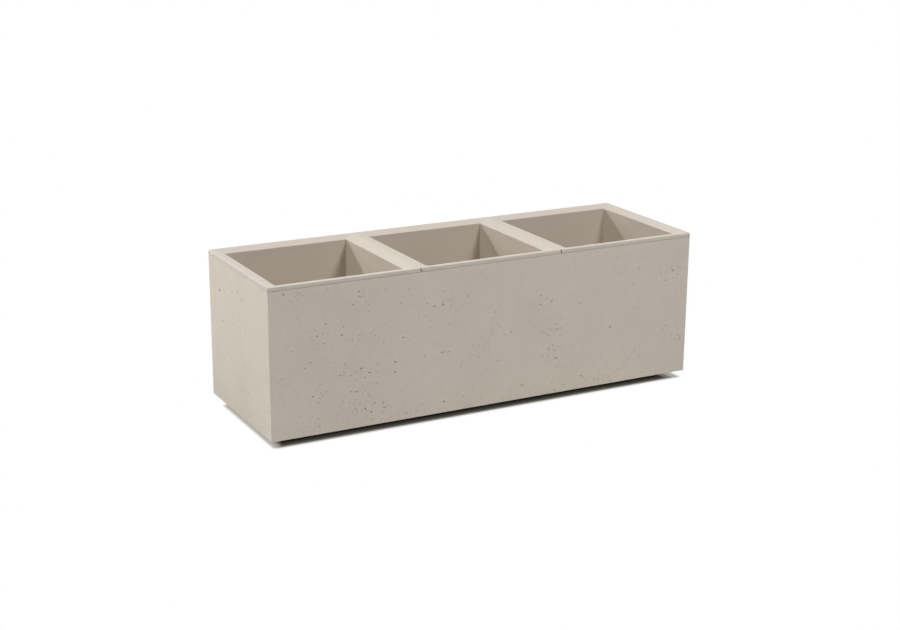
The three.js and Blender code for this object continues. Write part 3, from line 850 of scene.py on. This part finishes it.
def make_shell():
    """The casting: a block less its pockets and seats, with real pits in its four outer faces."""
    edges = [(inset, SHELL_BOTTOM + away) for inset, away in SHELL_ARRIS]
    edges += [(inset, SHELL_TOP - away) for inset, away in reversed(SHELL_ARRIS)]
    rings = []
    for inset, height in edges:
        reaches = [HALF_LENGTH - inset, HALF_DEPTH - inset] * 2
        rings.append(sided_ring(reaches, SHELL_CORNER - inset, [height] * 4))
    block_form = new_object("casting", loft(rings))
    for bay, centre in BAY_CENTRES.items():
        carve(block_form, make_pocket(centre))
        carve(block_form, seat_cutter(f"drain_sleeve_{bay}", SEAT_OVERCUT, SEAT_OVERCUT))
    for side in ("left", "right"):
        for end in ("front", "back"):
            carve(block_form, seat_cutter(f"screw_socket_{side}_{end}", SEAT_OVERCUT, CAST_GAP))
            carve(block_form, seat_cutter(f"lifting_socket_{side}_{end}", CAST_GAP, SEAT_OVERCUT))
    form = bmesh.new()
    form.from_mesh(block_form.data)
    bpy.data.objects.remove(block_form)
    bmesh.ops.scale(form, vec=(1 / MM, 1 / MM, 1 / MM), verts=form.verts)
    bmesh.ops.remove_doubles(form, verts=form.verts, dist=SHELL_MERGE)
    outer = []
    for face in form.faces:
        on_end = all(abs(abs(v.co.x) - HALF_LENGTH) < ON_FACE for v in face.verts)
        on_side = all(abs(abs(v.co.y) - HALF_DEPTH) < ON_FACE for v in face.verts)
        if on_end or on_side:
            outer.append(face)
    bmesh.ops.delete(form, geom=outer, context="FACES")
    low = SHELL_BOTTOM + SHELL_EASE
    long = 2 * (HALF_LENGTH - SHELL_CORNER)
    short = 2 * (HALF_DEPTH - SHELL_CORNER)
    rng = random.Random(PIT_SEED)
    faces = (
        ((-long / 2, -HALF_DEPTH), (1, 0), long, 1),
        ((HALF_LENGTH, -short / 2), (0, 1), short, END_FACE_PITS),
        ((long / 2, HALF_DEPTH), (-1, 0), long, 1),
        ((-HALF_LENGTH, short / 2), (0, -1), short, END_FACE_PITS),
    )
    for (x, y), along, length, share in faces:
        pitted_face(form, rng, Vector((x, y, low)), Vector((*along, 0)), length, share)
    bmesh.ops.remove_doubles(form, verts=form.verts, dist=SHELL_MERGE)
    bmesh.ops.recalc_face_normals(form, faces=form.faces)
    shell = new_object("cast_shell", form)
    finish_piece(shell, "shell", [shell_concrete, pit_concrete_painted_shade], SHELL_CREASE)


# Studio

LENS = 65.5
SENSOR = 36
CAMERA_ANGLES = (-28.097, 16.711, 0.375)  # azimuth, elevation and roll in degrees
CAMERA_PLACE = (-1.9465, -3.6215, 1.4341)
CAMERA_REACH = 100  # in metres, as all places in the studio are
FLOOR_HALF = 12
PAINTED_SHADOW_REACH = 30  # in millimetres
PAINTED_SHADOW_OPENNESS = (0.493, 0.78)  # how open the floor is where the painted shadow is full, and where it ends
PAINTED_SHADOW_SAMPLES = 16
PAINTED_SHADOW_TINT = (1, 0.92, 0.78, 1)  # painted tint of the shadow on the floor, for light that would come off the sandy concrete
WHITE = (1, 1, 1, 1)
FLOOR_PAINT = (0.8, 0.8, 0.8, 1)  # as the planter sees the floor


def make_camera():
    """The photograph's view, from the front left and a little above."""
    camera = bpy.data.objects.new("camera", bpy.data.cameras.new("camera"))
    camera.data.lens = LENS
    camera.data.sensor_width = SENSOR
    azimuth, elevation, roll = (math.radians(angle) for angle in CAMERA_ANGLES)
    turned = Euler((math.pi / 2 - elevation, 0, azimuth)).to_matrix()
    rolled = turned @ Matrix.Rotation(roll, 3, "Z")
    camera.matrix_world = Matrix.Translation(CAMERA_PLACE) @ rolled.to_4x4()
    camera.data.clip_end = CAMERA_REACH
    bpy.context.scene.collection.objects.link(camera)
    bpy.context.scene.camera = camera


def for_the_eye(tree):
    """1 for what the camera sees, straight or in a gloss or glass, and 0 for light that bounces."""
    path = add(tree, "ShaderNodeLightPath", {})
    mirrored = add(tree, "ShaderNodeMath", {0: path.outputs["Is Glossy Ray"],
                                            1: path.outputs["Is Transmission Ray"]}, operation="MAXIMUM")
    seen = add(tree, "ShaderNodeMath", {0: path.outputs["Is Camera Ray"], 1: mirrored.outputs[0]},
               operation="MAXIMUM")
    return seen.outputs[0]


# Painted light and shade on the floor under the shell, as (place in millimetres, level): by distance from
# the middle of the depth, and along the length. It is painted lighter a little way in at the two ends.
PAINTED_FLOOR_SHADE_BY_DEPTH = ((160, 0.0), (168, 0.012), (174, 0.028), (180, 0.036), (187, 0.07), (194, 0.12),
                  (200, 0.15))
PAINTED_FLOOR_SHADE_BY_LENGTH = ((-599, 1.0), (-592, 0.56), (-588, 0.42), (-582, 0.38), (-577, 0.3), (-571, 0.14),
                   (-566, 0.06), (-560, 0.0), (536, 0.0), (542, 0.05), (548, 0.16), (558, 0.18),
                   (566, 0.38), (580, 0.42), (584, 0.6), (592, 1.0))
# Painted light on the floor at the back left corner, in place of the lamp at the back left: along the
# length, and along the depth.
PAINTED_LIT_CORNER_LENGTH = ((-600, 1.0), (-577, 1.0), (-568, 0.0), (-560, 0.0))
PAINTED_LIT_CORNER_DEPTH = ((120, 0.0), (134, 0.0), (148, 1.0), (200, 1.0))


def profile(tree, value, stops):
    """The level at a place, read off a row of (place in millimetres, level) stops."""
    first, last = stops[0][0], stops[-1][0]
    share = add(tree, "ShaderNodeMapRange", {0: value, 1: first * MM, 2: last * MM})
    ramp = add(tree, "ShaderNodeValToRGB", {0: share.outputs[0]})
    marks = ramp.color_ramp.elements
    for place, _ in stops[1:-1]:
        marks.new((place - first) / (last - first))
    for mark, (_, level) in zip(marks, stops):
        mark.color = (level, level, level, 1)
    return ramp.outputs[0]


def make_floor():
    """A plain white floor. The camera sees it white but for a painted shadow close under the planter."""
    form = bmesh.new()
    bmesh.ops.create_grid(form, x_segments=1, y_segments=1, size=FLOOR_HALF / MM)
    floor = new_object("studio_floor", form)
    material, tree, place = new_material("white studio floor with painted shadow")
    near = add(tree, "ShaderNodeAmbientOcclusion", {"Distance": PAINTED_SHADOW_REACH * MM},
               samples=PAINTED_SHADOW_SAMPLES)
    clear = add(tree, "ShaderNodeMapRange", {0: near.outputs["AO"], 1: PAINTED_SHADOW_OPENNESS[0],
                                             2: PAINTED_SHADOW_OPENNESS[1]})
    along = add(tree, "ShaderNodeSeparateXYZ", {0: place})
    depth = add(tree, "ShaderNodeMath", {0: along.outputs[1]}, operation="ABSOLUTE")
    level = clear.outputs[0]
    for value, stops in ((depth.outputs[0], PAINTED_FLOOR_SHADE_BY_DEPTH), (along.outputs[0], PAINTED_FLOOR_SHADE_BY_LENGTH)):
        seen = profile(tree, value, stops)
        level = add(tree, "ShaderNodeMath", {0: level, 1: seen}, operation="MAXIMUM").outputs[0]
    corner = add(tree, "ShaderNodeMath", {0: profile(tree, along.outputs[0], PAINTED_LIT_CORNER_LENGTH),
                                          1: profile(tree, along.outputs[1], PAINTED_LIT_CORNER_DEPTH)},
                 operation="MULTIPLY")
    level = add(tree, "ShaderNodeMath", {0: level, 1: corner.outputs[0]}, operation="MAXIMUM").outputs[0]
    # Painted shadow: the camera sees an emission, dimmed and tinted by these levels, in place of a lit
    # floor.
    painted_tint = add(tree, "ShaderNodeMix", {0: level, 6: PAINTED_SHADOW_TINT, 7: WHITE}, data_type="RGBA")
    seen = add(tree, "ShaderNodeEmission", {"Color": painted_tint.outputs[2], "Strength": level})
    unseen = add(tree, "ShaderNodeBsdfDiffuse", {"Color": FLOOR_PAINT})
    shader = add(tree, "ShaderNodeMixShader", {0: for_the_eye(tree), 1: unseen.outputs[0],
                                               2: seen.outputs[0]})
    add(tree, "ShaderNodeOutputMaterial", {"Surface": shader.outputs[0]})
    floor.data.materials.append(material)


WORLD_LEVEL = 0.01


def make_world():
    """A white backdrop for the eye and for reflections, and a faint even light for the rest."""
    world = bpy.data.worlds.new("studio")
    world.use_nodes = True
    tree = world.node_tree
    tree.nodes.clear()
    level = add(tree, "ShaderNodeMapRange", {0: for_the_eye(tree), 3: WORLD_LEVEL, 4: 1.0})
    light = add(tree, "ShaderNodeBackground", {"Color": WHITE, "Strength": level.outputs[0]})
    add(tree, "ShaderNodeOutputWorld", {"Surface": light.outputs[0]})
    bpy.context.scene.world = world


LAMP_AIM = Vector((0, 0, 0.3))
# Name of a lamp: (place, width and height of its soft box in metres, power in watts)
LAMPS = {
    "key_left_back": ((-3.2, 2.4, 1.73), 0.3, 0.3, 47),
    "high_right": ((1.0, -1.4, 3.7), 1.3, 0.9, 72),
    "high_front": ((1.1, -2.6, 3.7), 1.3, 0.9, 35),
    "left_high": ((-2.6, -0.4, 2.9), 1.2, 1.2, 20),
    "left_middle": ((-3.3, -0.4, 2.2), 1.2, 1.2, 17),
    "right_wall": ((4.0, 0.0, 1.8), 2.4, 2.4, 12),
    "back_wall": ((0.0, 4.4, 2.4), 3.0, 2.4, 11),
    "back_left": ((-1.8, 4.0, 1.6), 0.5, 0.5, 28),
}


def make_lamps():
    """Soft boxes, all aimed at one point inside the planter."""
    for name, (place, width, height, power) in LAMPS.items():
        lamp = bpy.data.lights.new(name, "AREA")
        lamp.shape = "RECTANGLE"
        lamp.size = width
        lamp.size_y = height
        lamp.energy = power
        thing = bpy.data.objects.new(name, lamp)
        thing.location = place
        thing.rotation_euler = (LAMP_AIM - thing.location).to_track_quat("-Z", "Y").to_euler()
        thing.visible_camera = False
        bpy.context.scene.collection.objects.link(thing)


make_camera()
bpy.context.scene.view_settings.view_transform = "Standard"
make_floor()
make_world()
make_lamps()

shell_concrete = cast_concrete("cast fibre-reinforced concrete", "#E3D9CB", "#D7CDBF",
                               roughness=0.88, grain_depth=0.6)
# Painted shade: the inside of the pits is coloured darker than the cast face.
pit_concrete_painted_shade = cast_concrete("concrete inside the air pits, darkened as painted shade", "#CBBFB1", "#BDB1A1",
                             roughness=0.95, grain_depth=0.8)
runner_concrete = cast_concrete("rough cast concrete of the runners", "#C4B9AA", "#B3A796",
                                roughness=0.95, grain_depth=1)
coated_steel = powder_coat("powder-coated sheet steel")
epdm = moulded("moulded EPDM rubber", "#34322F", "#262422", roughness=0.75, speck=0.6, depth=0.05)
pvc = moulded("extruded grey PVC", "#7E8083", "#74767A", roughness=0.4, speck=1.5, depth=0.02)
zinc = zinc_plate("zinc-plated steel")

make_shell()
make_liner("left", meets_right=True, meets_left=False)
make_liner("middle", meets_right=True, meets_left=True)
make_liner("right", meets_right=False, meets_left=True)
make_fittings()
